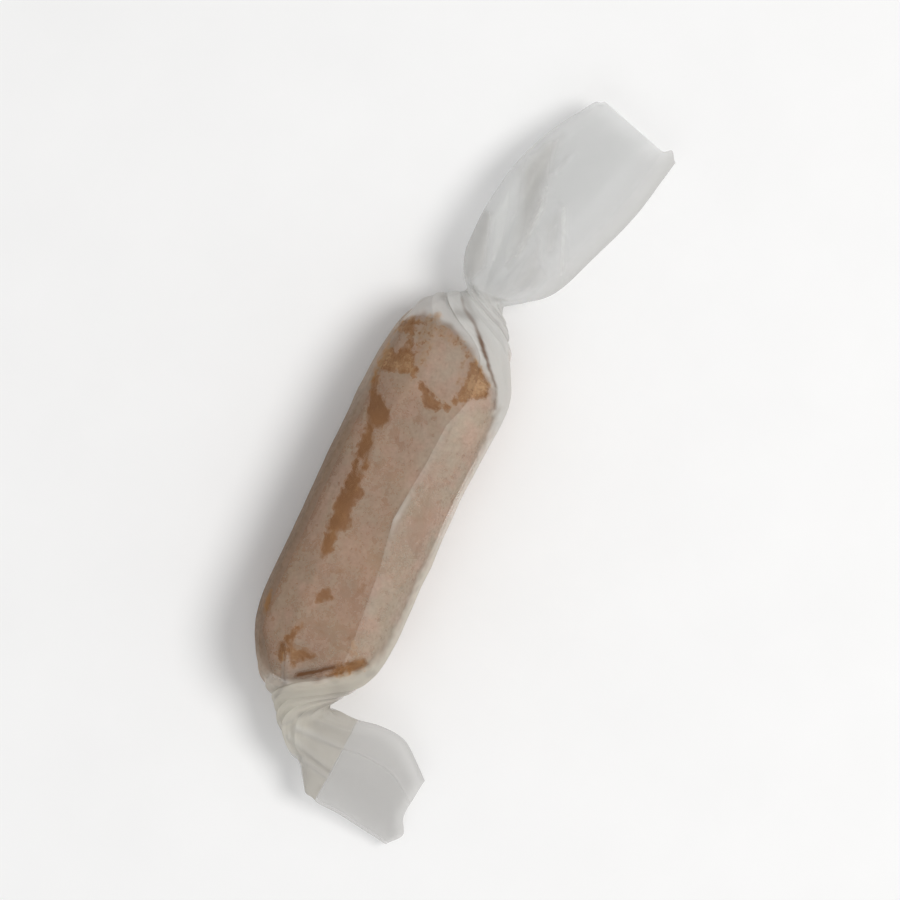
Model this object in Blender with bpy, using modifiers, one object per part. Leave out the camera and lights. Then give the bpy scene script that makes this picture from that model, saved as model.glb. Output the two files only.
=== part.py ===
"""A salted caramel log rolled in one sheet of waxed paper, with both ends twisted shut.

Two pieces, each its own solid: the caramel, and the paper, which is rolled a little more than once round it,
pinched and turned at a neck beyond each end, and spread into a flat crumpled tail.

Frame: +X runs along the log towards its wider tail, +Z is up, and the log rests on Z = 0 with the
origin under its middle. Lengths are in metres unless a comment says millimetres.
"""

import math

import bmesh
import bpy
import numpy as np

MM = 0.001

# The caramel log fills the roll of paper but for this gap
CARAMEL_GAP = 0.39 * MM
CARAMEL_ENDS = (7.15, 13.7)  # the rung numbers of its two tips
CARAMEL_ROUNDING = 1.25  # how many rungs long the rounding at each end is
CARAMEL_ROWS, CARAMEL_COLUMNS = 27, 36

# The paper
PAPER = 0.15 * MM  # its thickness
PLY_GAP = 0.20 * MM  # air between two plies
TURNS = 1.25  # how far round the log the sheet goes
SEAM_ANGLE = math.radians(68)  # where its outer edge lies, counted from the -Y side over the top
FLAT_DEPTH = 0.25 * MM  # how far the log's weight flattens the paper under it

# The rolled sheet's outline seen from above, as rungs across it from the end of the left tail to the end
# of the right one, in mm: +Y end x, y; -Y end x, y; height of the +Y end and of the -Y end; half its
# thickness.
RUNGS = (
    (-34.3, -16.4, -25.8, -17.6, 1.5, 2.2, 0.75),
    (-33.8, -13.4, -22.7, -13.9, 2.0, 3.0, 0.80),
    (-33.3, -9.8, -22.2, -10.4, 2.7, 3.8, 0.86),
    (-33.0, -7.1, -22.6, -7.7, 3.5, 4.8, 0.95),
    (-30.9, -4.2, -22.5, -5.6, 4.7, 5.8, 1.30),
    (-27.3, 0.0, -22.5, -4.2, 6.1, 6.2, 1.85),
    (-24.7, 2.0, -21.7, -4.6, 6.4, 6.4, 2.60),
    (-23.1, 4.1, -20.3, -5.6, 6.7, 6.7, 4.50),
    (-20.1, 6.4, -18.2, -7.0, 6.9, 6.9, 6.30),
    (-15.0, 8.2, -14.4, -8.0, 7.0, 7.0, 7.00),
    (-5.0, 8.35, -5.0, -8.0, 7.0, 7.0, 7.05),
    (6.0, 8.35, 6.0, -7.9, 7.0, 7.0, 7.05),
    (16.0, 8.1, 16.2, -8.4, 7.0, 7.0, 7.00),
    (21.4, 7.1, 20.4, -7.0, 7.0, 6.9, 6.40),
    (24.8, 5.5, 23.2, -5.6, 6.9, 6.8, 4.80),
    (26.4, 3.2, 25.3, -4.2, 6.8, 6.6, 2.80),
    (27.2, 2.0, 27.0, -2.9, 6.7, 6.4, 1.90),
    (29.1, 3.2, 28.6, -5.0, 6.8, 6.1, 1.60),
    (32.4, 3.9, 31.2, -7.6, 6.9, 5.6, 1.20),
    (38.6, 3.6, 36.8, -9.9, 6.6, 4.9, 0.80),
    (46.0, 1.6, 43.4, -12.2, 5.6, 4.0, 0.75),
    (53.5, -2.9, 50.4, -13.6, 4.4, 3.0, 0.70),
)
LEFT_NECK, RIGHT_NECK = 5, 16  # the narrowest rungs
LEFT_LOG_END, RIGHT_LOG_END = 8.2, 12.8  # where the paper starts to close on the log's ends

# How the paper turns and is pleated
TWIST = math.radians(215)  # each tail's turn against the log
CREASES = tuple(math.radians(a) for a in (12, 47, 68, 110, 152, 186, 226, 262, 283, 330))  # along the log
LOG_FACET, NECK_PLEAT = 0.5, 1.8  # how deep the paper sinks between them, on the log and at the necks
LOG_SQUARENESS, NECK_SQUARENESS, TAIL_SQUARENESS = 2.5, 2.0, 4.0

# Folds of the tails: place across at the neck and at the tail's end (-1 is the +Y side and 1 the other),
# half-width, height in mm, and the share of the tail where it has died away
LEFT_FOLDS = (
    (-0.40, 0.25, 0.17, 0.55, 0.9),
    (-0.75, -0.45, 0.14, 0.45, 0.8),
    (0.00, 0.60, 0.13, -0.35, 0.8),
    (0.55, 0.85, 0.14, 0.35, 0.7),
    (-0.20, -0.10, 0.40, 0.60, 1.9),
)
RIGHT_FOLDS = (
    (-0.55, -0.98, 0.20, 1.05, 1.5),
    (-0.12, -0.85, 0.14, -1.05, 1.2),
    (0.30, -0.30, 0.11, 0.75, 0.6),
    (0.85, 0.10, 0.12, 0.85, 0.7),
    (0.65, -0.05, 0.10, -0.60, 0.6),
    (0.20, 0.55, 0.50, 0.80, 2.5),
)
UPPER_PLY_END = 3  # on the left tail the upper ply ends at this rung
UPPER_PLY_ANGLES = (math.radians(8), math.radians(172))  # and it lies between these
# How far in mm each tail's end stands out at one place: the distance, the place across and its half-width
LEFT_BULGE = (1.3, -0.58, 0.33)
RIGHT_BULGE = (0.9, 0.84, 0.11)

# How finely the sheet is divided
ROWS_PER_RUNG = {"tail": 2, "neck": 3, "log": 2}
COLUMNS = 46


def smooth_step(x):
    x = np.clip(x, 0.0, 1.0)
    return x * x * (3 - 2 * x)


def power(x, exponent):
    return np.sign(x) * np.abs(x) ** exponent


def along(column, u):
    """A column of RUNGS at rung number u, on a smooth curve through the rungs."""
    values = np.array([rung[column] for rung in RUNGS])
    last = len(values) - 1
    i = np.clip(np.floor(u).astype(int), 0, last - 1)
    f = u - i
    before, start = values[np.maximum(i - 1, 0)], values[i]
    end, after = values[i + 1], values[np.minimum(i + 2, last)]
    slope_in, slope_out = (end - before) / 2, (after - start) / 2
    return (
        start * (1 + 2 * f) * (1 - f) ** 2
        + slope_in * f * (1 - f) ** 2
        + end * f * f * (3 - 2 * f)
        + slope_out * f * f * (f - 1)
    )


def sag(angle):
    """How far a chord between two neighbouring creases lies inside the unit circle, at this angle."""
    edges = np.array(CREASES + (CREASES[0] + 2 * math.pi,))
    a = np.mod(angle - edges[0], 2 * math.pi) + edges[0]
    i = np.clip(np.searchsorted(edges, a, side="right") - 1, 0, len(edges) - 2)
    middle, half = (edges[i] + edges[i + 1]) / 2, (edges[i + 1] - edges[i]) / 2
    return 1 - np.cos(half) / np.cos(a - middle)


def tail_share(u):
    """0 between the necks, rising to 1 at each tail's end; the left tail's is given first."""
    left = (LEFT_NECK - u) / LEFT_NECK
    right = (u - RIGHT_NECK) / (len(RUNGS) - 1 - RIGHT_NECK)
    return np.clip(left, 0, 1), np.clip(right, 0, 1)


def neck_share(u):
    """1 at a neck, and 0 on the log and well out on a tail."""
    left = np.where(u < LEFT_NECK, (LEFT_NECK - u) / 3, (u - LEFT_NECK) / (LEFT_LOG_END - LEFT_NECK))
    right = np.where(u > RIGHT_NECK, (u - RIGHT_NECK) / 3, (RIGHT_NECK - u) / (RIGHT_NECK - RIGHT_LOG_END))
    return 1 - smooth_step(np.minimum(left, right))


def turn(u):
    """How far the paper has turned against the log."""
    left = smooth_step((LEFT_LOG_END - u) / (LEFT_LOG_END - LEFT_NECK + 1))
    right = smooth_step((u - RIGHT_LOG_END) / (RIGHT_NECK + 1 - RIGHT_LOG_END))
    return TWIST * (left + right)


def rolled_angle(v):
    """How far round the log the sheet has come at v, before it turns."""
    return SEAM_ANGLE - 2 * math.pi * TURNS * (1 - v)


def bulge(table, across, from_end):
    """How far a tail stands out at this place across it, this many rungs from its end."""
    distance, place, half_width = table
    return distance * np.exp(-(((across - place) / half_width) ** 2)) * np.clip(1 - from_end, 0, 1) ** 2


def folds(table, across, share):
    """The height that a table of folds adds at this place across a tail and this share of its length."""
    height = np.zeros_like(across)
    for start, end, half_width, rise, fade in table:
        place = start + (end - start) * share
        height += rise * np.exp(-(((across - place) / half_width) ** 2)) * (1 - smooth_step(share / fade))
    return height


def under_ply(v):
    """How far the sheet lies inside its outermost ply: it dips only where its outer edge covers it."""
    back = TURNS * (1 - v)
    return (PAPER + PLY_GAP) * smooth_step((back - 0.86) / 0.12)


def outermost(u, v, pleating=1.0):
    """Points of a sheet without thickness, whose plies lie one on the other. See sheet."""
    rolled = rolled_angle(v)
    angle = rolled + turn(u)
    (left, right), neck = tail_share(u), neck_share(u)
    tail = np.maximum(left, right)
    squareness = LOG_SQUARENESS + (NECK_SQUARENESS - LOG_SQUARENESS) * neck
    squareness = squareness + (TAIL_SQUARENESS - squareness) * smooth_step(3 * tail)
    across = power(np.cos(angle), 2 / np.minimum(squareness, 2.5))
    up = power(np.sin(angle), 2 / squareness)
    pleat = (LOG_FACET + (NECK_PLEAT - LOG_FACET) * neck) * (1 - smooth_step(2.5 * tail))
    inwards = 1 - pleating * pleat * sag(rolled)
    middle = [(along(i, u) + along(i + 2, u)) / 2 for i in (0, 1)]
    half = [(along(i + 2, u) - along(i, u)) / 2 for i in (0, 1)]
    high, low = along(4, u), along(5, u)
    z = (high + low) / 2 + (low - high) / 2 * across + up * along(6, u) * inwards
    spread = smooth_step(2 * tail)
    z = z + spread * np.where(left > 0, folds(LEFT_FOLDS, across, left), folds(RIGHT_FOLDS, across, right))
    on_log = smooth_step(np.minimum(u - 7.0, 14.0 - u))
    z = np.maximum(z - FLAT_DEPTH / MM * on_log, 0.0)
    x, y = (m + h * across * inwards for m, h in zip(middle, half))
    x = x + bulge(RIGHT_BULGE, across, len(RUNGS) - 1 - u)
    y = y - bulge(LEFT_BULGE, across, u / 1.5)
    return np.stack([x, y, z], -1) * MM


def inward(u, v):
    """The direction straight into the roll from its surface without pleats."""
    step = 0.002
    along_u = outermost(u + step, v, 0) - outermost(u - step, v, 0)
    along_v = outermost(u, v + step, 0) - outermost(u, v - step, 0)
    inwards = np.cross(along_v, along_u)
    return inwards / np.linalg.norm(inwards, axis=-1, keepdims=True)


def sheet(u, v):
    """Points of the paper's outer face. u is the rung number and v runs across the sheet from 0 to 1."""
    return outermost(u, v) + inward(u, v) * under_ply(v)[..., None]


def cut_away(u, v):
    """Whether the sheet is missing here, beyond the end of the left tail's upper ply."""
    angle = np.mod(rolled_angle(v) + turn(u), 2 * math.pi)
    return (u < UPPER_PLY_END) & (angle > UPPER_PLY_ANGLES[0]) & (angle < UPPER_PLY_ANGLES[1])


def sheet_rows():
    """The rung numbers of the sheet's rows, closer together where the paper turns and bends."""
    found = [0.0]
    for rung in range(len(RUNGS) - 1):
        near = min(abs(rung + 0.5 - LEFT_NECK), abs(rung + 0.5 - RIGHT_NECK))
        on_tail = rung < LEFT_NECK or rung >= RIGHT_NECK
        count = ROWS_PER_RUNG["neck" if near < 3.6 else "tail" if on_tail else "log"]
        found += [rung + (i + 1) / count for i in range(count)]
    return np.array(found)


def caramel_skin(share, back):
    """Points of the caramel's skin, at these shares of its length and turns back from the paper's outer edge."""
    first, last = CARAMEL_ENDS
    u = first + (last - first) * share
    v = 1 - back / TURNS
    doubled = np.maximum(1 - smooth_step((back - 0.25) / 0.08), smooth_step((back - 0.86) / 0.12))
    points = outermost(u, v) + inward(u, v) * (PAPER + CARAMEL_GAP + (PAPER + PLY_GAP) * doubled)[..., None]
    middle = points.mean(axis=1, keepdims=True)
    to_tip = np.minimum(u - first, last - u) / CARAMEL_ROUNDING
    scale = np.sqrt(1 - np.clip(1 - to_tip, 0, 1) ** 2)[..., None]
    return middle + (points - middle) * scale


def material(name, colour, roughness):
    made = bpy.data.materials.new(name)
    made.use_nodes = True
    shader = made.node_tree.nodes["Principled BSDF"]
    shader.inputs["Base Color"].default_value = (*colour, 1.0)
    shader.inputs["Roughness"].default_value = roughness
    shader.inputs["Metallic"].default_value = 0.0
    return made


def add_object(collection, name, made, surface):
    mesh = bpy.data.meshes.new(name)
    bmesh.ops.recalc_face_normals(made, faces=made.faces)
    made.to_mesh(mesh)
    made.free()
    mesh.shade_smooth()
    mesh.materials.append(surface)
    added = bpy.data.objects.new(name, mesh)
    collection.objects.link(added)
    return added


def add_caramel(collection):
    made = bmesh.new()
    steps = (1 - np.cos(np.linspace(0.12, math.pi - 0.12, CARAMEL_ROWS))) / 2
    turns = np.arange(CARAMEL_COLUMNS) / CARAMEL_COLUMNS
    skin = caramel_skin(*np.meshgrid(steps, turns, indexing="ij"))
    rings = [[made.verts.new(point) for point in ring] for ring in skin]
    for ring, following in zip(rings, rings[1:]):
        for j in range(CARAMEL_COLUMNS):
            k = (j + 1) % CARAMEL_COLUMNS
            made.faces.new((ring[j], following[j], following[k], ring[k]))
    for ring in (rings[0], rings[-1]):
        made.faces.new(ring)
    bmesh.ops.triangulate(made, faces=made.faces)
    add_object(collection, "caramel", made, material("caramel", (0.30, 0.15, 0.06), 0.35))


def add_wrapper(collection):
    made = bmesh.new()
    u, v = np.meshgrid(sheet_rows(), np.linspace(0, 1, COLUMNS), indexing="ij")
    grid = [[made.verts.new(point) for point in row] for row in sheet(u, v)]
    missing = cut_away((u[:-1] + u[1:])[:, :-1] / 2, (v[:, :-1] + v[:, 1:])[:-1] / 2)
    for i, j in np.argwhere(~missing):
        made.faces.new((grid[i][j], grid[i + 1][j], grid[i + 1][j + 1]))
        made.faces.new((grid[i][j], grid[i + 1][j + 1], grid[i][j + 1]))
    bmesh.ops.delete(made, geom=[vert for vert in made.verts if not vert.link_faces], context="VERTS")
    wrapper = add_object(collection, "wrapper", made, material("waxed paper", (0.60, 0.60, 0.58), 0.45))
    wall = wrapper.modifiers.new("paper", "SOLIDIFY")
    wall.thickness = PAPER
    wall.offset = -1


def main():
    for old in list(bpy.data.objects):
        bpy.data.objects.remove(old)
    candy = bpy.data.collections.new("salted_caramel_candy")
    bpy.context.scene.collection.children.link(candy)
    add_caramel(candy)
    add_wrapper(candy)


main()
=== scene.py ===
"""Looks for a salted caramel log that is rolled in waxed paper and twisted shut at both ends.

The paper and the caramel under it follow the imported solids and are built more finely: pleats at the necks and
folds that close them, creases in the tails, and brown patches where the caramel has wetted the paper.
"""

import math

import bpy
import numpy as np
from mathutils import Matrix, Vector, noise


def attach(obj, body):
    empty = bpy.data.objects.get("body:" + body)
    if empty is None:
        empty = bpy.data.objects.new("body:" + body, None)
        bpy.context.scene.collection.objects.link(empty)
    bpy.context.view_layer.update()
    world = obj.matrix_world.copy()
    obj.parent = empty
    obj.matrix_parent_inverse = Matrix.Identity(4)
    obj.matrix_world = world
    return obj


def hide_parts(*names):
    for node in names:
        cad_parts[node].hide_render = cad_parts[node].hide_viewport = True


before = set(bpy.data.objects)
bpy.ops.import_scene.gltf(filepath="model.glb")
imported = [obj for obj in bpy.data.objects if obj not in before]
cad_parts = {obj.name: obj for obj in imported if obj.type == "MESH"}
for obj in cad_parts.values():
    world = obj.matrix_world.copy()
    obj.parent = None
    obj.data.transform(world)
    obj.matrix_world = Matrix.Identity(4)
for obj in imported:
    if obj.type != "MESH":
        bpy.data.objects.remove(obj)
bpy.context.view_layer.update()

MM = 0.001

# The sheet's outline seen from above, as rungs across it from the end of the left tail to the end of the
# right one, in mm: +Y end x, y; -Y end x, y; height of the +Y end and of the -Y end; half its thickness
RUNGS = np.array((
    (-34.3, -16.4, -25.8, -17.6, 1.5, 2.2, 0.75),
    (-33.8, -13.4, -22.7, -13.9, 2.0, 3.0, 0.80),
    (-33.3, -9.8, -22.2, -10.4, 2.7, 3.8, 0.86),
    (-33.0, -7.1, -22.6, -7.7, 3.5, 4.8, 0.95),
    (-30.9, -4.2, -22.5, -5.6, 4.7, 5.8, 1.30),
    (-27.3, 0.0, -22.5, -4.2, 6.1, 6.2, 1.85),
    (-24.7, 2.0, -21.7, -4.6, 6.4, 6.4, 2.60),
    (-23.1, 4.1, -20.3, -5.6, 6.7, 6.7, 4.50),
    (-20.1, 6.4, -18.2, -7.0, 6.9, 6.9, 6.30),
    (-15.0, 8.2, -14.4, -8.0, 7.0, 7.0, 7.00),
    (-5.0, 8.35, -5.0, -8.0, 7.0, 7.0, 7.05),
    (6.0, 8.35, 6.0, -7.9, 7.0, 7.0, 7.05),
    (16.0, 8.1, 16.2, -8.4, 7.0, 7.0, 7.00),
    (21.4, 7.1, 20.4, -7.0, 7.0, 6.9, 6.40),
    (24.8, 5.5, 23.2, -5.6, 6.9, 6.8, 4.80),
    (26.4, 3.2, 25.3, -4.2, 6.8, 6.6, 2.80),
    (27.2, 2.0, 27.0, -2.9, 6.7, 6.4, 1.90),
    (29.1, 3.2, 28.6, -5.0, 6.8, 6.1, 1.60),
    (32.4, 3.9, 31.2, -7.6, 6.9, 5.6, 1.20),
    (38.6, 3.6, 36.8, -9.9, 6.6, 4.9, 0.80),
    (46.0, 1.6, 43.4, -12.2, 5.6, 4.0, 0.75),
    (53.5, -2.9, 50.4, -13.6, 4.4, 3.0, 0.70),
))
LEFT_NECK, RIGHT_NECK = 5, 16  # the narrowest rungs
LEFT_LOG_END, RIGHT_LOG_END = 8.2, 12.8  # where the paper starts to close on the log's ends

# The paper's roll, turn and pleats, as in the solid
PLY = 0.35  # mm from one ply to the next
TURNS = 1.25
TURN_LENGTH = 44  # mm of paper in one turn round the log
SEAM_ANGLE = math.radians(68)
FLAT_DEPTH = 0.25  # mm that the log's underside is pressed flat
TWIST = math.radians(215)
CREASES = np.radians((12, 47, 68, 110, 152, 186, 226, 262, 283, 330))
LOG_FACET, NECK_PLEAT = 0.5, 1.8
LOG_SQUARENESS, NECK_SQUARENESS, TAIL_SQUARENESS = 2.5, 2.0, 4.0
# Broad folds of the tails: place across at the neck and at the tail's end, from -1 at its +Y edge to 1 at its
# -Y edge, half-width, height in mm, and the share of the tail's length in which it fades out
LEFT_FOLDS = (
    (-0.40, 0.25, 0.17, 0.55, 0.9),
    (-0.75, -0.45, 0.14, 0.45, 0.8),
    (0.00, 0.60, 0.13, -0.35, 0.8),
    (0.55, 0.85, 0.14, 0.35, 0.7),
    (-0.20, -0.10, 0.40, 0.60, 1.9),
)
RIGHT_FOLDS = (
    (-0.55, -0.98, 0.20, 1.05, 1.5),
    (-0.12, -0.85, 0.14, -1.05, 1.2),
    (0.30, -0.30, 0.11, 0.75, 0.6),
    (0.85, 0.10, 0.12, 0.85, 0.7),
    (0.65, -0.05, 0.10, -0.60, 0.6),
    (0.20, 0.55, 0.50, 0.80, 2.5),
)
# The rung at which the left tail's upper ply ends, and between which angles of the roll it is cut off
UPPER_PLY_END = 3
UPPER_PLY_ANGLES = np.radians((8, 172))
# How the tails' end edges bulge: distance in mm, place across and half-width
LEFT_BULGE = (1.3, -0.58, 0.33)
RIGHT_BULGE = (0.9, 0.84, 0.11)
# Small shifts of the +Y outline towards -X, for the left tail's shoulder, the notch above it and the right
# tail's round corner: distance in mm, rung, half-width in rungs, and how far in from that outline they reach
OUTLINE_SHIFTS = (
    (0.55, 3.5, 0.25, 0.5),
    (-0.60, 4.15, 0.20, 0.5),
    (0.50, 21.0, 0.09, 0.12),
)

# Fine pleats that gather the paper at the necks
FINE_PLEATS = 21
FINE_DEPTH = 0.05  # mm
PLEAT_SEED = 4
# How deep the paper's outer edge is pressed down on the ply below, and over what width, in mm
EDGE_PRESS, EDGE_PRESS_WIDTH = 0.26, 1.2
# The paper's slack: size of its lumps in mm, seed of their noise and their height in mm
SLACK = ((4.0, 1, 0.10), (1.6, 2, 0.03))
# The folds that meet in the middle of each neck and close it: name, rung, and how far their middle is drawn
# along the neck in mm
NECK_FOLDS = (("left_neck_folds", 4.6, 1.4), ("right_neck_folds", 16.4, -1.6))
NECK_FOLD_TURN = 1.3  # radians from wall to middle
NECK_FOLD_DEPTH = 0.9  # mm
# How finely the paper is built: columns round it, and mm between rows near the necks and elsewhere
PAPER_COLUMNS = 240
NECK_STEP, STEP = 0.18, 0.30

# Creases seen from above, in mm: the two ends, how wide each slopes off to its left and to its right, height
CREASE_LINES = (
    (29.3, -0.7, 33.0, -1.8, 1.3, 0.25, 0.22),
    (33.0, -1.8, 39.0, -2.0, 1.9, 0.25, 0.34),
    (39.0, -2.0, 41.5, -1.5, 1.9, 0.25, 0.32),
    (41.5, -1.5, 46.3, 0.2, 1.6, 0.25, 0.28),
    (30.5, 0.6, 37.0, 1.0, 1.1, 1.6, 0.24),
    (37.0, 1.0, 42.5, 2.0, 1.1, 1.6, 0.20),
    (30.4, 1.2, 35.6, 3.0, 0.9, 0.3, 0.26),
    (28.6, -1.9, 36.0, -2.6, 0.4, 1.7, 0.20),
    (33.7, -4.4, 36.3, -3.1, 0.3, 0.8, 0.30),
    (33.2, -7.3, 37.0, -5.7, 1.3, 0.7, 0.36),
    (37.0, -5.7, 40.2, -4.3, 1.3, 0.8, 0.34),
    (43.4, -1.6, 46.2, -2.6, 0.6, 0.4, 0.18),
    (33.4, -6.9, 33.9, -8.2, 0.4, 0.8, 0.14),
    (42.0, -9.5, 50.0, -10.5, 2.0, 1.5, 0.12),
    (-26.3, -1.8, -26.2, -7.9, 0.7, 0.4, 0.30),
    (-27.6, -1.4, -29.0, -7.6, 0.6, 0.5, 0.26),
    (-29.3, -3.2, -30.0, -7.8, 0.3, 0.9, 0.30),
    (-24.6, -3.0, -24.0, -7.8, 0.5, 0.9, 0.24),
    (-27.4, -7.4, -27.0, -12.0, 0.9, 0.9, 0.12),
    (-25.0, -7.4, -25.2, -12.5, 0.9, 0.9, 0.10),
    (-30.6, -8.0, -31.6, -15.0, 1.4, 1.4, 0.12),
    (-21.9, 1.6, -18.0, 3.25, 0.3, 0.9, 0.30),
    (-20.3, 1.2, -17.8, -1.7, 0.4, 0.5, 0.28),
    (14.2, -6.2, 15.1, -7.9, 0.4, 0.4, 0.16),
    (15.2, -6.9, 17.8, -6.4, 0.3, 0.4, 0.16),
    (13.0, -3.4, 11.6, -7.6, 0.8, 0.5, 0.12),
    (-4.2, -6.6, 0.4, -7.5, 0.6, 0.4, 0.16),
    (-1.0, -2.2, 1.0, -2.0, 0.5, 0.5, 0.10),
    (1.0, -2.0, 7.0, -2.8, 0.5, 0.6, 0.12),
    (22.6, 5.6, 26.4, 2.4, 0.6, 0.5, 0.14),
    (-21.0, -1.4, -16.6, -6.3, 0.7, 0.4, 0.16),
    (19.0, -6.6, 26.0, -2.6, 0.6, 0.6, 0.14),
)

# Where the paper lies in extra layers, seen from above: how much, how soft the edge is in mm, corners in mm
LAYERED = (
    (0.6, 2.4, ((31.0, -0.9), (33.0, -1.9), (39.0, -2.1), (41.5, -1.6), (46.4, 0.1), (44.0, 2.2), (42.0, 2.0),
                (38.0, 0.6), (33.0, 0.0))),
    (0.5, 1.6, ((31.0, 0.9), (36.0, 2.6), (41.0, 2.6), (38.0, 1.2), (34.0, 0.2), (31.0, -0.2))),
    (0.6, 2.4, ((27.5, 2.6), (30.6, 1.2), (32.0, 1.8), (36.5, 3.1), (36.0, 4.2), (31.0, 4.4))),
    (0.3, 2.6, ((28.6, -2.6), (34.5, -3.2), (35.5, -3.6), (34.0, -4.6), (31.5, -6.0))),
    (0.5, 2.2, ((34.2, -4.4), (37.0, -3.4), (40.2, -4.1), (37.8, -5.1), (35.0, -5.8))),
    (0.95, 0.4, ((-34.5, -4.0), (-28.0, 0.5), (-21.5, -3.4), (-22.3, -7.7), (-29.7, -7.7), (-34.5, -7.4))),
)
# Painted shade: where the paper is greyer in its folds and tails, in the same way
SHADED = (
    (0.80, 1.2, ((27.8, 2.8), (30.0, 4.6), (36.4, 4.0), (36.2, 2.8), (30.3, 0.9), (28.3, 1.6))),
    (0.85, 2.2, ((33.0, -1.6), (37.0, -0.4), (42.2, 2.0), (46.0, 0.9), (47.6, -0.6), (40.0, -1.6),
                 (35.5, -2.0))),
    (0.85, 5.0, ((27.0, -4.0), (31.0, -5.4), (36.0, -7.4), (41.0, -9.2), (46.0, -10.6), (54.0, -12.0),
                 (54.0, -22.0), (27.0, -22.0))),
    (0.65, 3.0, ((28.5, -2.4), (33.0, -2.4), (35.5, -3.2), (33.6, -4.8), (32.5, -6.5), (30.0, -6.0))),
    (0.50, 1.6, ((34.5, -4.6), (37.5, -3.0), (40.0, -4.0), (36.5, -5.3), (34.0, -6.2))),
    (0.80, 0.4, ((-37.0, -6.8), (-20.0, -6.8), (-20.0, -21.0), (-37.0, -21.0))),
    (0.75, 3.0, ((-36.0, -3.8), (-28.0, -2.6), (-20.0, -4.0), (-20.0, -8.4), (-36.0, -8.4))),
)
# The outline in mm inside which the caramel shows through one smooth layer; beyond it the paper is gathered
CARAMEL_SEEN = (
    (-20.9, 0.4), (-19.6, -2.1), (-17.0, -5.6), (-14.5, -6.7), (-9.0, -7.1), (-4.0, -6.9), (1.0, -7.3),
    (8.0, -7.4), (14.2, -7.2), (16.4, -6.7), (18.6, -5.0), (19.5, -3.6), (20.3, -2.2), (21.4, -0.7),
    (22.2, 1.3), (22.1, 3.0), (22.7, 3.8), (21.7, 5.6), (20.3, 7.0), (17.0, 9.0), (-16.5, 9.0),
    (-22.7, 7.0), (-22.1, 2.2),
)

# How much further round the paper's outer edge reaches than in the solid, in degrees, at places along the log
SEAM_PLACES = (-16.0, -10.0, -6.0, -3.0, 0.0, 3.0, 7.0, 12.0, 16.0)
SEAM_REACH = (0.0, 3.5, 5.5, 9.0, 12.0, 10.0, 7.5, 7.5, 0.0)

# Paler and darker clouds in the paper over the caramel: middle x, y and half-widths in mm, how much paler
CLOUDS = (
    (5.0, -2.0, 5.0, 0.9, 1.0),
    (11.5, -3.4, 3.0, 1.9, 1.4),
    (18.0, 0.5, 4.0, 3.2, 0.9),
    (1.5, -4.6, 3.0, 1.6, -1.2),
    (-12.0, -2.4, 4.0, 1.4, -0.5),
    (-9.0, -6.8, 6.0, 0.8, 0.6),
    (0.0, 5.9, 6.0, 0.9, 0.8),
    (-19.0, 2.8, 1.6, 1.6, 0.7),
)

# Where the caramel has wetted the paper on the side that faces up: how brown, and the corners in mm
WET_PATCHES = (
    (0.9, ((-7.1, 3.6), (-6.4, 4.0), (-4.0, 4.6), (-2.0, 4.7), (1.6, 4.9), (3.3, 4.7), (3.0, 3.5),
            (2.0, 3.4), (1.2, 2.6), (0.3, 2.9), (-0.9, 3.2), (-1.8, 2.9), (-2.7, 2.4), (-3.5, 2.7),
            (-4.0, 3.3), (-6.5, 3.1))),
    (0.9, ((4.6, 5.0), (6.0, 5.4), (8.3, 5.5), (8.2, 4.9), (7.4, 4.4), (6.0, 3.9), (5.0, 4.1))),
    (0.5, ((3.7, 4.0), (4.8, 4.0), (4.9, 3.6), (4.3, 3.3), (3.8, 3.6))),
    (0.9, ((8.4, 5.3), (10.0, 6.0), (12.3, 6.8), (11.9, 5.3), (11.2, 4.7), (10.8, 3.9), (9.8, 3.6),
           (8.9, 4.1))),
    (0.34, ((14.4, 7.4), (18.4, 7.4), (17.4, 6.8), (17.2, 6.1), (17.7, 5.5), (18.3, 5.2), (18.0, 4.2),
            (16.9, 3.6), (16.2, 2.7), (15.6, 2.8), (15.5, 4.3), (15.0, 6.2))),
    (0.45, ((17.7, 5.5), (18.7, 5.2), (20.6, 6.0), (21.3, 5.7), (19.6, 5.0), (18.0, 4.3))),
    (0.3, ((19.4, 7.2), (20.6, 6.9), (21.6, 6.0), (21.9, 4.9), (21.6, 4.3), (21.2, 5.1), (20.1, 5.8),
            (19.6, 6.4))),
    (0.65, ((15.3, 2.0), (14.6, 1.7), (13.9, 0.9), (13.1, 0.3), (13.0, -0.4), (13.9, -2.0), (14.2, -1.6),
            (14.3, -0.2))),
    (0.26, ((14.7, -2.2), (16.4, -2.4), (18.0, -2.6), (19.8, -2.1), (20.1, -2.8), (18.9, -4.2),
            (18.4, -5.0), (17.4, -5.4), (16.8, -5.2), (16.2, -4.4), (15.2, -3.1))),
    (0.4, ((-19.7, 1.8), (-18.6, 2.6), (-17.7, 3.2), (-17.6, 1.5), (-17.7, -0.3), (-18.4, 0.2),
           (-18.9, 1.1))),
    (1.2, ((-11.9, 2.0), (-11.3, 2.6), (-10.3, 1.7), (-10.9, 1.0), (-11.5, 1.4))),
    (0.6, ((-19.1, -2.6), (-18.1, -2.7), (-17.0, -3.7), (-15.9, -4.8), (-15.8, -5.6), (-16.4, -5.9),
           (-17.3, -5.1), (-18.4, -3.9))),
    (0.9, ((-15.7, 6.9), (-15.0, 7.4), (-13.2, 7.5), (-14.6, 6.8))),
)
# Wetted lines beside them: two ends and half-width in mm
WET_LINES = (
    (3.3, 4.7, 4.8, 5.0, 0.22),
    (12.0, 6.5, 14.6, 7.3, 0.24),
    (-19.5, 3.1, -18.2, 3.6, 0.30),
    (-17.6, 3.3, -16.2, 3.2, 0.30),
    (-16.2, 3.2, -15.2, 2.5, 0.22),
)
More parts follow.
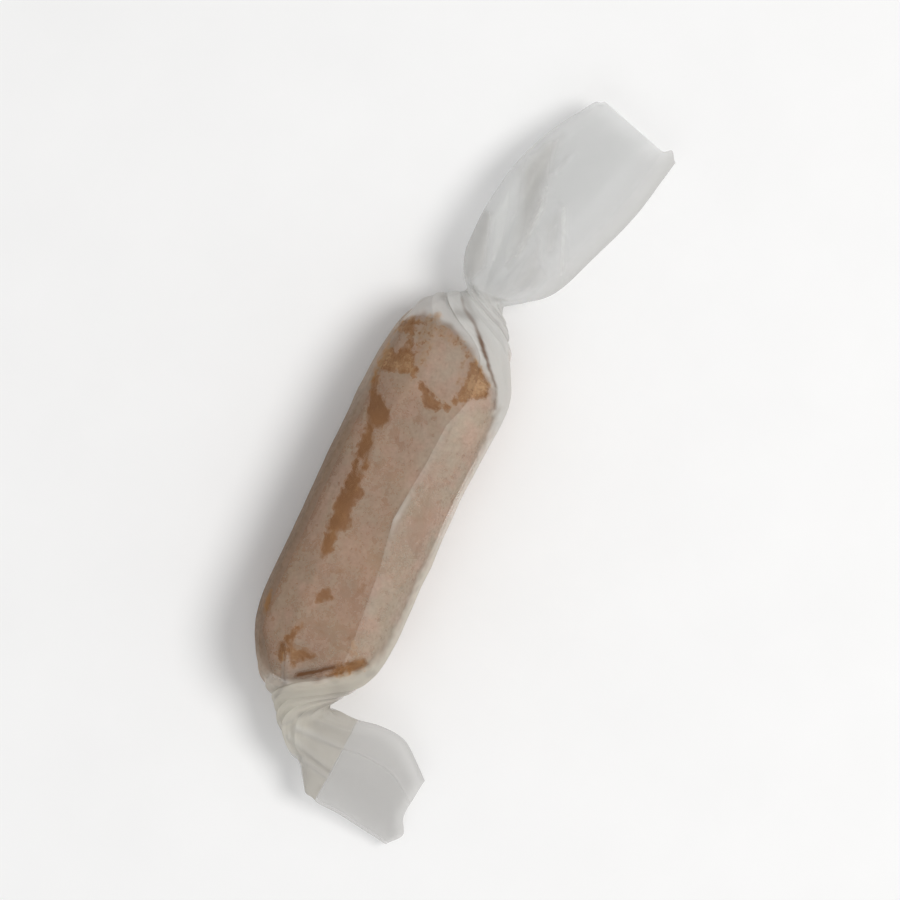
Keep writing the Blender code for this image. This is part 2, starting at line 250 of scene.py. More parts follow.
# Faint smears: two ends and half-width in mm, and how much they show
FAINT_LINES = (
    (21.8, 4.3, 22.9, 3.4, 0.60, 0.9),
    (21.6, 2.4, 21.3, 0.4, 0.80, 0.8),
    (21.3, 0.4, 20.2, -2.2, 0.60, 0.7),
    (17.4, 3.2, 21.0, 3.9, 1.10, 0.7),
    (16.6, 3.0, 20.0, 2.8, 0.50, 0.5),
    (16.0, -2.2, 20.0, -1.4, 0.60, 0.5),
    (-12.6, 7.1, -11.2, 5.8, 0.16, 0.7),
    (-15.6, -4.1, -14.6, -3.5, 0.45, 0.8),
    (-13.6, -1.3, -11.4, -0.8, 0.50, 0.3),
    (-11.5, -4.0, -9.0, -6.8, 0.40, 0.2),
    (0.3, -1.2, 0.6, -0.6, 0.25, 0.5),
)
# Dark lines where the caramel ends and the gathered paper starts, in the same way: part stain, part painted
# shade
DARK_LINES = (
    (26.0, 1.9, 24.8, 0.9, 0.10, 0.35),
    (24.8, 0.9, 24.1, -0.5, 0.16, 0.45),
    (24.1, -0.5, 22.8, -1.8, 0.12, 0.8),
    (22.8, -1.8, 21.0, -3.5, 0.18, 0.9),
    (21.0, -3.5, 19.9, -4.4, 0.12, 0.8),
    (19.9, -4.5, 18.4, -5.9, 0.10, 0.7),
    (18.2, -6.0, 16.2, -6.8, 0.08, 0.5),
    (-20.6, 0.7, -19.3, -1.0, 0.24, 1.0),
    (-19.3, -1.0, -18.0, -2.7, 0.26, 1.0),
    (-18.0, -2.7, -16.4, -4.8, 0.12, 0.6),
    (-18.7, 3.3, -18.0, 3.6, 0.14, 0.6),
)
# Painted shade in the grey hollows between folds, in the same way
SHADE_LINES = (
    (24.2, 1.6, 24.5, -0.2, 0.45, 0.7),
    (24.5, -0.2, 26.5, 1.8, 0.30, 0.4),
    (-24.0, 1.9, -22.0, 1.6, 0.22, 0.6),
    (-21.8, 2.0, -18.2, 3.5, 0.18, 0.9),
    (-24.7, -1.5, -23.7, -2.6, 0.30, 0.8),
    (-23.7, -2.6, -22.3, -3.8, 0.30, 0.7),
    (-20.2, -4.4, -18.4, -6.2, 0.30, 0.1),
    (-17.2, -6.6, -16.8, -7.0, 0.30, 0.4),
    (30.3, 1.2, 36.1, 3.15, 0.20, 0.7),
    (31.5, -1.3, 34.8, -1.9, 0.25, 0.5),
    (34.8, -1.9, 40.0, -1.5, 0.25, 0.8),
    (40.0, -1.5, 45.5, 0.15, 0.20, 0.5),
    (43.8, -2.1, 45.6, -2.1, 0.30, 0.25),
    (34.4, -4.9, 38.6, -4.2, 0.45, 0.2),
    (-29.6, -4.6, -29.9, -7.6, 0.50, 0.95),
    (-24.7, -3.8, -24.6, -7.6, 0.80, 0.70),
    (-27.8, -3.6, -28.4, -7.6, 0.60, 0.70),
)

# The caramel: its gap to the paper and the height of its lumps in mm, then its tips and the length of its round
# ends in rungs
CARAMEL_GAP = 0.34
CARAMEL_LUMPS = 0.05
CARAMEL_ENDS = (7.0, 13.85)
CARAMEL_ROUNDING = 0.85

# Colours, in pairs where a noise or a place mixes the two
OVER_CARAMEL = ((0.92, 0.76, 0.65, 1), (0.83, 0.77, 0.65, 1))
LOOSE_PAPER = (0.72, 0.725, 0.72, 1)
GATHERED_LEFT, GATHERED_RIGHT = (0.76, 0.725, 0.64, 1), (0.83, 0.83, 0.81, 1)
# The far side: the caramel's brown seen through the paper, with painted shade
FAR_SIDE_MIDDLE = ((0.32, 0.215, 0.135, 1), (0.47, 0.33, 0.22, 1))
FAR_SIDE_ENDS = ((0.54, 0.43, 0.33, 1), (0.67, 0.56, 0.45, 1))
# A painted highlight on the crests
CREASE_HIGHLIGHT = (0.86, 0.86, 0.84, 1)
# Painted shade in the hollows between folds
PAINTED_HOLLOW_SHADE = (0.35, 0.32, 0.29, 1)
THIN_STAIN, THICK_STAIN = (0.80, 0.55, 0.32, 1), (0.56, 0.31, 0.13, 1)
# Partly the caramel's stain, partly painted shade
DARK_LINE = (0.20, 0.095, 0.04, 1)
CARAMEL_BROWNS = ((0.18, 0.078, 0.026, 1), (0.245, 0.115, 0.042, 1))
FLOOR_WHITES = ((0.91, 0.91, 0.91, 1), (0.93, 0.93, 0.93, 1))


def smooth_step(x):
    x = np.clip(x, 0.0, 1.0)
    return x * x * (3 - 2 * x)


def power(x, exponent):
    return np.sign(x) * np.abs(x) ** exponent


def along(column, u):
    """A column of RUNGS at rung number u, on a smooth curve through the rungs."""
    values = RUNGS[:, column]
    last = len(values) - 1
    i = np.clip(np.floor(u).astype(int), 0, last - 1)
    f = u - i
    before, start = values[np.maximum(i - 1, 0)], values[i]
    end, after = values[i + 1], values[np.minimum(i + 2, last)]
    slope_in, slope_out = (end - before) / 2, (after - start) / 2
    return (
        start * (1 + 2 * f) * (1 - f) ** 2
        + slope_in * f * (1 - f) ** 2
        + end * f * f * (3 - 2 * f)
        + slope_out * f * f * (f - 1)
    )


def between(edges, angle):
    """The two crease angles on either side of this angle, and the number of the first."""
    edges = np.append(edges, edges[0] + 2 * math.pi)
    a = np.mod(angle - edges[0], 2 * math.pi) + edges[0]
    i = np.clip(np.searchsorted(edges, a, side="right") - 1, 0, len(edges) - 2)
    return a, edges[i], edges[i + 1], i


def sag(angle):
    """How far a chord between two neighbouring creases lies inside the unit circle, at this angle."""
    a, first, second, _ = between(CREASES, angle)
    return 1 - np.cos((second - first) / 2) / np.cos(a - (first + second) / 2)


def fine_pleats(angle):
    """Narrow uneven pleats round a neck: 0 on their crests and up to 1 between them."""
    draw = np.random.default_rng(PLEAT_SEED)
    gaps = draw.uniform(0.5, 1.6, FINE_PLEATS)
    edges = np.cumsum(gaps) / gaps.sum() * 2 * math.pi
    depth = draw.uniform(0.3, 1.0, FINE_PLEATS)
    a, first, second, i = between(edges, angle)
    return depth[i] * (1 - np.abs(2 * (a - first) / (second - first) - 1)) ** 0.8


def tail_share(u):
    """How far along the left and the right tail this rung number lies, 0 at the neck and 1 at the end."""
    left = (LEFT_NECK - u) / LEFT_NECK
    right = (u - RIGHT_NECK) / (len(RUNGS) - 1 - RIGHT_NECK)
    return np.clip(left, 0, 1), np.clip(right, 0, 1)


def neck_share(u):
    """1 at a neck, less beside it, and 0 on the log and further out in the tails."""
    left = np.where(u < LEFT_NECK, (LEFT_NECK - u) / 3, (u - LEFT_NECK) / (LEFT_LOG_END - LEFT_NECK))
    right = np.where(u > RIGHT_NECK, (u - RIGHT_NECK) / 3, (RIGHT_NECK - u) / (RIGHT_NECK - RIGHT_LOG_END))
    return 1 - smooth_step(np.minimum(left, right))


def turn(u):
    """How far the roll is twisted at this rung number."""
    left = smooth_step((LEFT_LOG_END - u) / (LEFT_LOG_END - LEFT_NECK + 1))
    right = smooth_step((u - RIGHT_LOG_END) / (RIGHT_NECK + 1 - RIGHT_LOG_END))
    return TWIST * (left + right)


def rolled_angle(v):
    """The angle round the roll of a place across the sheet, before the twist."""
    return SEAM_ANGLE - 2 * math.pi * TURNS * (1 - v)


def bulge(shape, across, from_end):
    """How far in mm a tail's end edge is moved out, at places this many rungs from it."""
    distance, place, half_width = shape
    return distance * np.exp(-(((across - place) / half_width) ** 2)) * np.clip(1 - from_end, 0, 1) ** 2


def folds(table, across, share):
    """How much higher a tail's broad folds lie at these shares of its length."""
    height = np.zeros_like(across)
    for start, end, half_width, rise, fade in table:
        place = start + (end - start) * share
        height += rise * np.exp(-(((across - place) / half_width) ** 2)) * (1 - smooth_step(share / fade))
    return height


def outermost(u, v, pleating=1.0):
    """Points in mm of a sheet without thickness, whose plies lie one on the other."""
    rolled = rolled_angle(v)
    angle = rolled + turn(u)
    (left, right), neck = tail_share(u), neck_share(u)
    tail = np.maximum(left, right)
    squareness = LOG_SQUARENESS + (NECK_SQUARENESS - LOG_SQUARENESS) * neck
    squareness = squareness + (TAIL_SQUARENESS - squareness) * smooth_step(3 * tail)
    across = power(np.cos(angle), 2 / np.minimum(squareness, 2.5))
    up = power(np.sin(angle), 2 / squareness)
    pleat = (LOG_FACET + (NECK_PLEAT - LOG_FACET) * neck) * (1 - smooth_step(2.5 * tail))
    inwards = 1 - pleating * pleat * sag(rolled)
    middle = [(along(i, u) + along(i + 2, u)) / 2 for i in (0, 1)]
    half = [(along(i + 2, u) - along(i, u)) / 2 for i in (0, 1)]
    high, low = along(4, u), along(5, u)
    z = (high + low) / 2 + (low - high) / 2 * across + up * along(6, u) * inwards
    spread = smooth_step(2 * tail)
    z = z + spread * np.where(left > 0, folds(LEFT_FOLDS, across, left), folds(RIGHT_FOLDS, across, right))
    on_log = smooth_step(np.minimum(u - 7.0, 14.0 - u))
    z = np.maximum(z - FLAT_DEPTH * on_log, 0.0)
    x, y = (m + h * across * inwards for m, h in zip(middle, half))
    x = x + bulge(RIGHT_BULGE, across, len(RUNGS) - 1 - u)
    y = y - bulge(LEFT_BULGE, across, u / 1.5)
    for distance, rung, half_width, reach in OUTLINE_SHIFTS:
        x = x - distance * np.exp(-(((u - rung) / half_width) ** 2)) * smooth_step(1 - (across + 1) / reach)
    return np.stack([x, y, z], -1)


def line_distance(x, y, line):
    """Distance in mm from a line between two points seen from above, less than 0 on its left."""
    x0, y0, x1, y1 = line[:4]
    dx, dy = x1 - x0, y1 - y0
    share = np.clip(((x - x0) * dx + (y - y0) * dy) / (dx * dx + dy * dy), 0, 1)
    side = np.where((x - x0) * dy - (y - y0) * dx < 0, -1.0, 1.0)
    return side * np.hypot(x - x0 - share * dx, y - y0 - share * dy)


def patch_depth(x, y, corners):
    """How far in mm each point lies inside a patch seen from above, and less than 0 outside it."""
    distance = np.full(x.shape, 1e3)
    inside = np.zeros(x.shape, bool)
    for (x0, y0), (x1, y1) in zip(corners, corners[1:] + corners[:1]):
        distance = np.minimum(distance, np.abs(line_distance(x, y, (x0, y0, x1, y1))))
        crosses = (y0 > y) != (y1 > y)
        inside ^= crosses & (x < x0 + (x1 - x0) * (y - y0) / (y1 - y0 + 1e-9))
    return np.where(inside, distance, -distance)


def noise_at(points, size, seed):
    """Smooth noise of about -1 to 1 at points in mm, with lumps of this size in mm."""
    shift = Vector((seed * 17.3, seed * 5.1, seed * 9.7))
    flat = points.reshape(-1, 3) / size
    return np.array([noise.noise(Vector(p) + shift) for p in flat]).reshape(points.shape[:-1])


def outward(u, v):
    """The direction straight out of the roll's surface without pleats."""
    step = 0.002
    along_u = outermost(u + step, v, 0) - outermost(u - step, v, 0)
    along_v = outermost(u, v + step, 0) - outermost(u, v - step, 0)
    outwards = np.cross(along_u, along_v)
    return outwards / np.linalg.norm(outwards, axis=-1, keepdims=True)


def sheet(u, v, to_edge):
    """Points of the paper in mm with its pleats and creases, and the smooth outward direction there.

    Its outer edge, to_edge mm away, is pressed down on the ply below.
    """
    outwards = outward(u, v)
    points = outermost(u, v)
    depth = PLY * smooth_step((TURNS * (1 - v) - 0.86) / 0.12)
    rolled = rolled_angle(v)
    left, right = tail_share(u)
    gathered = neck_share(u) * (1 - smooth_step(np.maximum(left, right) / 0.45))
    depth = depth + FINE_DEPTH * gathered * fine_pleats(rolled)
    pressed = (1 - smooth_step(to_edge / EDGE_PRESS_WIDTH)) * smooth_step(np.minimum(u - 6.5, 14.5 - u))
    depth = depth + EDGE_PRESS * pressed
    x, y = points[..., 0], points[..., 1]
    upper = smooth_step((outwards[..., 2] - 0.15) / 0.3)
    for line in CREASE_LINES:
        left_width, right_width, height = line[4:]
        distance = line_distance(x, y, line)
        near = np.clip(1 - np.maximum(-distance / left_width, distance / right_width), 0, 1)
        depth = depth - height * near**1.3 * upper
    slack = sum(noise_at(points, size, seed) * height for size, seed, height in SLACK)
    underside = smooth_step((1.5 - points[..., 2]) / 1.5)
    depth = depth - slack * (1 - underside)
    return points - outwards * depth[..., None], outwards


class Surface:
    """Points of the paper, and the markings that its material shows there."""

    def __init__(self, u, to_edge, points, outwards):
        self.u, self.to_edge, self.points = u, to_edge, points
        self.x, self.y, self.z = (points[..., i] for i in range(3))
        self.facing_up = outwards[..., 2]
        self.coarse, self.fine = noise_at(points, 1.0, 3), noise_at(points, 0.45, 4)
        self.clouds = noise_at(points, 3.2, 7)
        self.ragged = 0.3 * self.coarse + 0.45 * self.fine
        self.up = smooth_step((self.facing_up + 0.05) / 0.3)
        # Beyond the end of the upper ply, the lower one shows its inner side
        self.shown = np.where(u < UPPER_PLY_END + 0.2, 1.0, self.up)
        self.cling = smooth_step((u - 6.0) / 1.5) * smooth_step((14.5 - u) / 1.5)

    def from_line(self, line):
        """Distance in mm from a line seen from above."""
        return np.abs(line_distance(self.x, self.y, line))

    def inside(self, corners):
        """How far in mm inside a patch seen from above."""
        return patch_depth(self.x, self.y, corners)

    def patches(self, table):
        """How much of this table's patches shows, where the strongest one counts."""
        shares = [
            amount * smooth_step(0.5 + self.inside(corners) / softness)
            for amount, softness, corners in table
        ]
        return np.max(shares, axis=0)

    def lines(self, table, soft, wider):
        """How much of this table's lines shows, wider by some mm and soft by a share of their half-width."""
        shares = [
            strength * smooth_step(0.5 + (half - self.from_line(ends) + wider) / max(0.3, soft * half))
            for *ends, half, strength in table
        ]
        return np.max(shares, axis=0)

    def wet_and_brown(self):
        """How wet and how brown the paper is: by the tables where it faces up, and by a noise elsewhere."""
        depths = [self.inside(corners) for _, corners in WET_PATCHES]
        browns = [
            (amount + 0.25 * (1 - smooth_step(depth / 0.6))) * smooth_step(1 + depth / 0.6)
            for (amount, _), depth in zip(WET_PATCHES, depths)
        ]
        for line in WET_LINES:
            depth = line[4] - self.from_line(line)
            depths.append(depth)
            browns.append(0.8 * smooth_step(1 + depth / 0.4))
        smears = [
            strength * smooth_step(0.5 + (half - self.from_line(ends) + 0.8 * self.ragged) / 0.8)
            for *ends, half, strength in FAINT_LINES
        ]
        wet = np.clip(0.5 + 0.9 * (np.max(depths, axis=0) + 0.05 + 0.8 * self.ragged), 0, 1)
        wet = np.maximum(wet, 0.58 * np.max(smears, axis=0))
        elsewhere = 0.5 + 1.6 * (noise_at(self.points, 5.5, 5) * 0.8 + 0.25 * self.ragged - 0.30)
        on_log = smooth_step((self.x + 21.0) / 2) * smooth_step((23.0 - self.x) / 2)
        wet = np.clip(self.up * wet + (1 - self.up) * elsewhere * on_log, 0, 1)
        brown = np.maximum(np.max(browns, axis=0), 0.26)
        brown = self.up * brown + (1 - self.up) * 0.65
        return wet, brown + 0.30 * noise_at(self.points, 1.5, 9) + 0.2 * self.fine

    def layered(self):
        """Where the paper lies in layers: past the caramel, on the near side and in folds of the tails."""
        beyond = smooth_step(0.45 - self.inside(CARAMEL_SEEN) / 1.8 + 0.25 * self.coarse)
        on_body = smooth_step((self.u - 4.2) / 1.3) * smooth_step((17.3 - self.u) / 1.8)
        left_end = smooth_step((-21.0 - self.x) / 2) * smooth_step((4.5 - self.y) / 2)
        right_end = smooth_step((self.x - 22.5) / 2)
        near_side = 0.7 * smooth_step((-6.0 - self.y) / 1.5)
        near_side *= smooth_step((self.z - 5.5 + 2.5 * self.clouds + 0.8 * self.ragged) / 3.0)
        sides = np.maximum(np.maximum(left_end, right_end), near_side)
        on_body = on_body * (self.up * beyond + (1 - self.up) * sides)
        return np.maximum(on_body, self.up * self.patches(LAYERED))

    def blotch(self):
        """How much paler the paper is over the caramel, in clouds."""
        paler = 0.6 * self.clouds + 0.45 * noise_at(self.points, 1.1, 8)
        paler += 0.5 * smooth_step((self.x - 11) / 6)
        for middle_x, middle_y, half_x, half_y, lift in CLOUDS:
            away = ((self.x - middle_x) / half_x) ** 2 + ((self.y - middle_y) / half_y) ** 2
            paler += self.up * lift * np.exp(-away)
        return self.cling * paler

    def far_brown_and_shade(self, layered):
        """How much of the log's far side shows the caramel's brown darkened with painted shade."""
        on_far_side = smooth_step((self.y + 0.9 * np.clip(-17.5 - self.x, 0, 5) - 5.5) / 2)
        on_log = smooth_step((self.u - 5.6) / 1.2)
        far_brown_and_shade = on_far_side * on_log * (1 - layered) * smooth_step((14.5 - self.u) / 1.5)
        return far_brown_and_shade * smooth_step((0.97 - self.facing_up) / 0.6)

    def ridge_highlight(self):
        """Painted highlight on pale crests, along the higher creases and beside the paper's outer edge on the
        log.
        """
        ridges = [
            smooth_step(1 - self.from_line(line) / 0.7) * min(1.0, max(0.0, line[6] - 0.22) / 0.12)
            for line in CREASE_LINES
        ]
        along_edge = 0.30 + 0.7 * np.exp(-(((self.x - 1.5) / 4) ** 2))
        ridges.append(along_edge * self.cling * smooth_step(1.3 - self.to_edge / 0.7))
        return self.shown * np.max(ridges, axis=0) * (0.75 + 0.25 * self.coarse)

    def overlap(self):
        """Where the sheet lies double in the part of the left tail that has only its lower ply."""
        laps = self.to_edge / TURN_LENGTH
        doubled = np.clip(0.5 + 100 * np.maximum(TURNS - 1 - laps, laps - 1), 0, 1)
        return doubled * smooth_step((UPPER_PLY_END + 0.3 - self.u) / 0.4)

    def markings(self):
        """Amounts that the paper's material reads by name; most run from 0 to 1."""
        wet, brown = self.wet_and_brown()
        layered = self.layered()
        # Painted shade in the hollows between folds
        painted_hollow_shade = self.up * self.lines(SHADE_LINES, 1.8, 0.1 * self.ragged)
        right = smooth_step((self.x - 4) / 12)
        return {
            "wet": wet,
            "brown": brown,
            # Dark lines: partly the caramel's stain, partly painted shade
            "dark": self.up * self.lines(DARK_LINES, 0.9, 0.05 + 0.25 * self.ragged),
            "shade": np.maximum(painted_hollow_shade, self.shown * self.patches(SHADED)),
            "layered": layered,
            "cling": self.cling,
            "blotch": self.blotch(),
            # The far side: the caramel's brown with painted shade
            "far_brown_and_shade": self.far_brown_and_shade(layered),
            # Painted highlight on the crests
            "ridge_highlight": self.ridge_highlight(),
            "overlap": self.overlap(),
            "right": right,
            "paler": np.maximum(right, 0.7 * smooth_step((-18.8 - self.x) / 2.5)),
        }


def add_attribute(mesh, name, values):
    layer = mesh.attributes.new(name, "FLOAT", "POINT")
    layer.data.foreach_set("value", np.ascontiguousarray(values, dtype=np.float32).ravel())


def grid_mesh(name, points, faces):
    """A smooth-shaded mesh from a grid of points in mm, with only the faces that are wanted."""
    rows, columns = points.shape[:2]
    index = np.arange(rows * columns).reshape(rows, columns)
    quads = np.stack([index[:-1, :-1], index[1:, :-1], index[1:, 1:], index[:-1, 1:]], -1)[faces]
    used, quads = np.unique(quads, return_inverse=True)
    mesh = bpy.data.meshes.new(name)
    mesh.from_pydata((points.reshape(-1, 3)[used] * MM).tolist(), [], quads.reshape(-1, 4).tolist())
    mesh.shade_smooth()
    return mesh, used


def add_object(name, data):
    added = bpy.data.objects.new(name, data)
    bpy.context.scene.collection.objects.link(added)
    return added


def add_paper(material):
    coarse = 1.0
    middle = (RUNGS[:, :2] + RUNGS[:, 2:4]) / 2
    lengths = np.hypot(*np.diff(middle, axis=0).T)
    rows = [0.0]
    for rung, length in enumerate(lengths):
        near = min(abs(rung + 0.5 - LEFT_NECK), abs(rung + 0.5 - RIGHT_NECK))
        count = max(2, round(coarse * length / (NECK_STEP if near < 3.6 else STEP)))
        rows += [rung + (i + 1) / count for i in range(count)]
    columns = round(coarse * PAPER_COLUMNS) + 1
    u, v = np.meshgrid(np.array(rows), np.linspace(0, 1, columns), indexing="ij")
    place = (along(0, u) + along(2, u)) / 2
    v = v * (1 + np.interp(place, SEAM_PLACES, SEAM_REACH) / 360 / TURNS)
    to_edge = (v[:, -1:] - v) * TURNS * TURN_LENGTH
    points, outwards = sheet(u, v, to_edge)
    mid_u = (u[:-1] + u[1:])[:, :-1] / 2
    mid_v = (v[:, :-1] + v[:, 1:])[:-1] / 2
    angle = np.mod(rolled_angle(mid_v) + turn(mid_u), 2 * math.pi)
    missing = (mid_u < UPPER_PLY_END) & (angle > UPPER_PLY_ANGLES[0]) & (angle < UPPER_PLY_ANGLES[1])
    mesh, used = grid_mesh("paper_film", points, ~missing)
    for name, values in Surface(u, to_edge, points, outwards).markings().items():
        add_attribute(mesh, name, values.ravel()[used])
    mesh.materials.append(material)
    film = add_object("paper_film", mesh)
    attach(film, "root")
    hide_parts("wrapper")


def add_neck_folds(material):
    """Close each neck with folds that run from its wall to a twisted middle."""
    rows, columns = 24, 168
    inwards, back = np.meshgrid(np.linspace(0, 1, rows), np.linspace(0, 1, columns), indexing="ij")
    for name, rung, drawn in NECK_FOLDS:
        u = np.full(back.shape, rung)
        v = 1 - back / TURNS + NECK_FOLD_TURN * inwards / (2 * math.pi * TURNS)
        wall = outermost(u, v, 0.6) - outward(u, v) * (PLY + 0.15)
        middle = wall.mean(axis=(0, 1))
        along_neck = outermost(u + 0.1, v).mean(axis=(0, 1)) - outermost(u - 0.1, v).mean(axis=(0, 1))
        along_neck /= np.linalg.norm(along_neck)
        pleats = fine_pleats(rolled_angle(v)) - 0.4
        shift = drawn * inwards**1.4 + NECK_FOLD_DEPTH * pleats * inwards * (1 - inwards) * 2
        points = middle + (wall - middle) * (1 - 0.97 * inwards)[..., None] + shift[..., None] * along_neck
        mesh, _ = grid_mesh(name, points, np.ones((rows - 1, columns - 1), bool))
        add_attribute(mesh, "layered", np.full(back.size, 1.0))
        add_attribute(mesh, "right", np.full(back.size, 1.0 if rung > RIGHT_NECK else 0.0))
        # Painted shade, deeper towards the middle of the neck
        add_attribute(mesh, "shade", 0.25 * inwards.ravel())
        mesh.materials.append(material)
        folds_piece = add_object(name, mesh)
        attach(folds_piece, "root")
        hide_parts("wrapper")


def add_caramel(material):
    rows, columns = 150, 144
    share = (1 - np.cos(np.linspace(0.02, math.pi - 0.02, rows))) / 2
    share, back = np.meshgrid(share, np.arange(columns) / columns, indexing="ij")
    first, last = CARAMEL_ENDS
    u, v = first + (last - first) * share, 1 - back / TURNS
    doubled = np.maximum(1 - smooth_step((back - 0.25) / 0.08), smooth_step((back - 0.86) / 0.12))
    points = outermost(u, v)
    lumps = CARAMEL_LUMPS * noise_at(points, 3.0, 6)
    points = points - outward(u, v) * (CARAMEL_GAP + PLY * doubled + lumps)[..., None]
    middle = points.mean(axis=1, keepdims=True)
    to_tip = np.minimum(u - first, last - u) / CARAMEL_ROUNDING
    scale = np.sqrt(1 - np.clip(1 - to_tip, 0, 1) ** 2)[..., None]
    points = middle + (points - middle) * scale
    points = np.concatenate([points, points[:, :1]], axis=1)
    mesh, _ = grid_mesh("caramel_log", points, np.ones((rows - 1, columns), bool))
    mesh.materials.append(material)
    log = add_object("caramel_log", mesh)
    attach(log, "root")
    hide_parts("caramel")


class Nodes:
    """Adds shader nodes to a new material and links them."""

    def __init__(self, name):
        self.material = bpy.data.materials.new(name)
        self.material.use_nodes = True
        self.tree = self.material.node_tree
        self.tree.nodes.clear()

    def add(self, kind, **settings):
        node = self.tree.nodes.new("ShaderNode" + kind)
        for key, value in settings.items():
            if hasattr(node, key):
                setattr(node, key, value)
            else:
                self.put(node.inputs[key.replace("_", " ")], value)
        return node

    def put(self, socket, value):
        """Link a socket to a node or to another socket, or set its value."""
        if isinstance(value, bpy.types.NodeSocket):
            self.tree.links.new(value, socket)
        elif isinstance(value, bpy.types.Node):
            self.tree.links.new(value.outputs[0], socket)
        else:
            socket.default_value = value

    def noise(self, scale, detail):
        place = self.add("TexCoord").outputs["Object"]
        return self.add("TexNoise", Vector=place, Scale=scale, Detail=detail, Roughness=0.6).outputs["Fac"]

    def map(self, value, low, high, to_low, to_high):
        node = self.add("MapRange", clamp=True)
        for socket, given in zip(node.inputs, (value, low, high, to_low, to_high)):
            self.put(socket, given)
        return node.outputs[0]

    def math(self, operation, a, b):
        node = self.add("Math", operation=operation)
        self.put(node.inputs[0], a)
        self.put(node.inputs[1], b)
        return node.outputs[0]

    def mix_value(self, share, a, b):
        node = self.add("Mix", data_type="FLOAT")
        self.put(node.inputs[0], share)
        self.put(node.inputs[2], a)
        self.put(node.inputs[3], b)
        return node.outputs[0]

    def mix_colour(self, share, a, b):
        node = self.add("Mix", data_type="RGBA")
        self.put(node.inputs[0], share)
        self.put(node.inputs[6], a)
        self.put(node.inputs[7], b)
        return node.outputs[2]

    def mix_shader(self, share, a, b):
        node = self.add("MixShader")
        for socket, given in zip(node.inputs, (share, a, b)):
            self.put(socket, given)
        return node

    def attribute(self, name):
        return self.add("Attribute", attribute_name=name).outputs["Fac"]

    def finish(self, shader):
        self.put(self.add("OutputMaterial").inputs["Surface"], shader)
        return self.material


def paper_material():
    n = Nodes("waxed paper")
    grain = n.noise(1100, 2)
    fine = n.noise(2400, 1)
    names = ("blotch", "layered", "shade", "dark", "cling", "far_brown_and_shade", "right", "paler", "ridge_highlight", "overlap")
    blotch, layered, shade, dark, cling, far_brown_and_shade, right, paler, ridge_highlight, overlap = map(n.attribute, names)
    speckle = n.math("MULTIPLY", n.math("SUBTRACT", n.math("ADD", grain, fine), 1.0), cling)
    wet = n.map(n.math("ADD", n.attribute("wet"), n.math("MULTIPLY", speckle, 0.7)), 0.25, 0.75, 0.0, 1.0)
    brown = n.math("ADD", n.attribute("brown"), n.math("MULTIPLY", speckle, 0.8))

    mottle = n.math("ADD", n.math("MULTIPLY", blotch, 0.10), n.math("MULTIPLY", speckle, 0.20))
    opacity = n.math("ADD", mottle, n.map(cling, 0, 1, 0.36, 0.32))
    specks = n.math("MULTIPLY", n.map(n.noise(950, 1), 0.60, 0.78, 0, 0.12), cling)
    opacity = n.math("SUBTRACT", opacity, specks)
    opacity = n.mix_value(wet, opacity, n.map(brown, 0.0, 1.0, 0.52, 0.03))
    for cover, most in ((far_brown_and_shade, 0.82), (layered, 0.93), (ridge_highlight, 0.75), (dark, 0.85), (shade, 0.75)):
        opacity = n.math("MAXIMUM", opacity, n.math("MULTIPLY", cover, most))
    opacity = n.math("MULTIPLY", opacity, n.map(overlap, 0, 1, 1.0, 0.6))

    tint = n.mix_colour(n.map(n.noise(420, 2), 0.38, 0.62, 0, 1), *OVER_CARAMEL)
    colour = n.mix_colour(cling, LOOSE_PAPER, tint)
    gathered = n.mix_colour(right, GATHERED_LEFT, GATHERED_RIGHT)
    colour = n.mix_colour(n.math("MULTIPLY", layered, 0.9), colour, gathered)
    flecks = n.map(n.math("ADD", grain, fine), 0.75, 1.25, 0, 1)
    side_middle, side_ends = (n.mix_colour(flecks, *pair) for pair in (FAR_SIDE_MIDDLE, FAR_SIDE_ENDS))
    # The far side: the caramel's brown with painted shade
    colour = n.mix_colour(far_brown_and_shade, colour, n.mix_colour(paler, side_middle, side_ends))
    # Painted highlight on the crests
    colour = n.mix_colour(n.math("MULTIPLY", ridge_highlight, 0.8), colour, CREASE_HIGHLIGHT)
    # Painted shade in the hollows
    colour = n.mix_colour(n.math("MULTIPLY", shade, 0.6), colour, PAINTED_HOLLOW_SHADE)
    colour = n.mix_colour(wet, colour, n.mix_colour(n.map(brown, 0.1, 0.9, 0, 1), THIN_STAIN, THICK_STAIN))
    # Dark lines: partly the caramel's stain, partly painted shade
    colour = n.mix_colour(dark, colour, DARK_LINE)

    bump = n.add("Bump", Height=grain, Strength=0.15, Distance=0.00003).outputs[0]
    front = n.add("BsdfPrincipled", Base_Color=colour, Roughness=0.46, Normal=bump)
    front.inputs["Specular IOR Level"].default_value = 0.35
    through = n.add("BsdfTranslucent", Color=colour, Normal=bump)
    sheet = n.mix_shader(0.45, front, through)
    return n.finish(n.mix_shader(opacity, n.add("BsdfTransparent"), sheet))


def caramel_material():
    n = Nodes("soft caramel")
    cloud = n.noise(130, 3)
    colour = n.mix_colour(n.map(cloud, 0.35, 0.65, 0, 1), *CARAMEL_BROWNS)
    roughness = n.map(n.noise(900, 2), 0.3, 0.7, 0.55, 0.7)
    bump = n.add("Bump", Height=cloud, Strength=0.2, Distance=0.0002)
    return n.finish(n.add("BsdfPrincipled", Base_Color=colour, Roughness=roughness, Normal=bump))


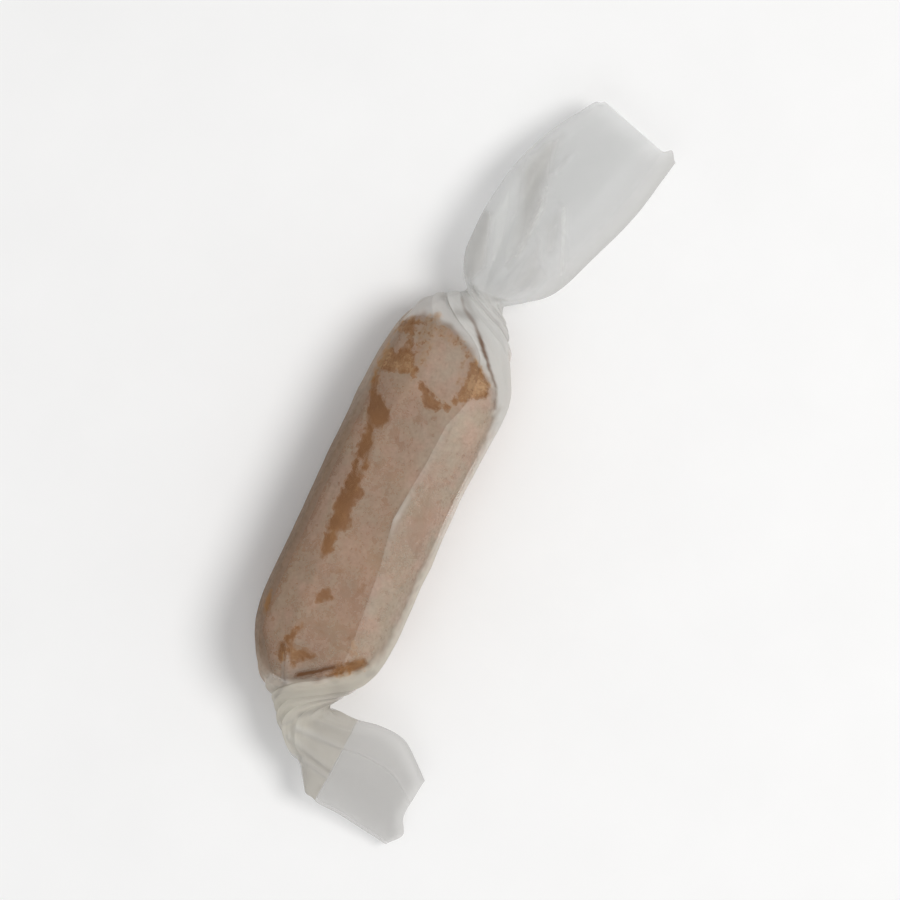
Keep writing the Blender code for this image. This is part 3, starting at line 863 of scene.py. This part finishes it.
def floor_material():
    n = Nodes("pale floor")
    colour = n.mix_colour(n.map(n.noise(60, 3), 0.3, 0.7, 0, 1), *FLOOR_WHITES)
    return n.finish(n.add("BsdfPrincipled", Base_Color=colour, Roughness=0.8))


def add_floor():
    half = 1.5  # metres
    corners = [(-half, -half, 0), (half, -half, 0), (half, half, 0), (-half, half, 0)]
    mesh = bpy.data.meshes.new("floor")
    mesh.from_pydata(corners, [], [(0, 1, 2, 3)])
    mesh.materials.append(floor_material())
    floor = add_object("floor", mesh)
    floor.location.z = -0.00015


def add_lamp(name, place, aim, size, power_w, colour):
    lamp = bpy.data.lights.new(name, "AREA")
    lamp.shape = "DISK"
    lamp.size = size
    lamp.energy = power_w
    lamp.color = colour
    added = add_object(name, lamp)
    added.location = place
    added.rotation_euler = (Vector(aim) - Vector(place)).to_track_quat("-Z", "Y").to_euler()


def add_light():
    world = bpy.data.worlds.new("studio")
    world.use_nodes = True
    background = world.node_tree.nodes["Background"]
    background.inputs["Color"].default_value = (1.0, 1.0, 1.0, 1)
    background.inputs["Strength"].default_value = 0.52
    bpy.context.scene.world = world
    aim = (0.008, -0.004, 0.005)
    add_lamp("key", (0.20, -0.34, 0.64), aim, 0.35, 2.7, (1.0, 0.99, 0.975))
    add_lamp("fill", (-0.45, -0.05, 0.55), aim, 0.60, 0.7, (0.98, 0.99, 1.0))


def add_camera():
    """A camera straight above the candy, turned so that the log lies as in the photo."""
    camera = bpy.data.cameras.new("camera")
    camera.lens = 250
    camera.clip_start = 0.01
    tilt = math.radians(25)
    up = Vector((math.cos(tilt), math.sin(tilt), 0))
    right = Vector((math.sin(tilt), -math.cos(tilt), 0))
    back = right.cross(up)
    middle = Vector((0.0098, -0.0042, 0.006))
    distance = 0.7125
    turned = Matrix((right, up, back)).transposed().to_4x4()
    placed = add_object("camera", camera)
    placed.matrix_world = Matrix.Translation(middle + back * distance) @ turned
    bpy.context.scene.camera = placed


def main():
    bpy.context.scene.view_settings.view_transform = "Standard"
    paper = paper_material()
    add_paper(paper)
    add_neck_folds(paper)
    add_caramel(caramel_material())
    add_floor()
    add_light()
    add_camera()


main()
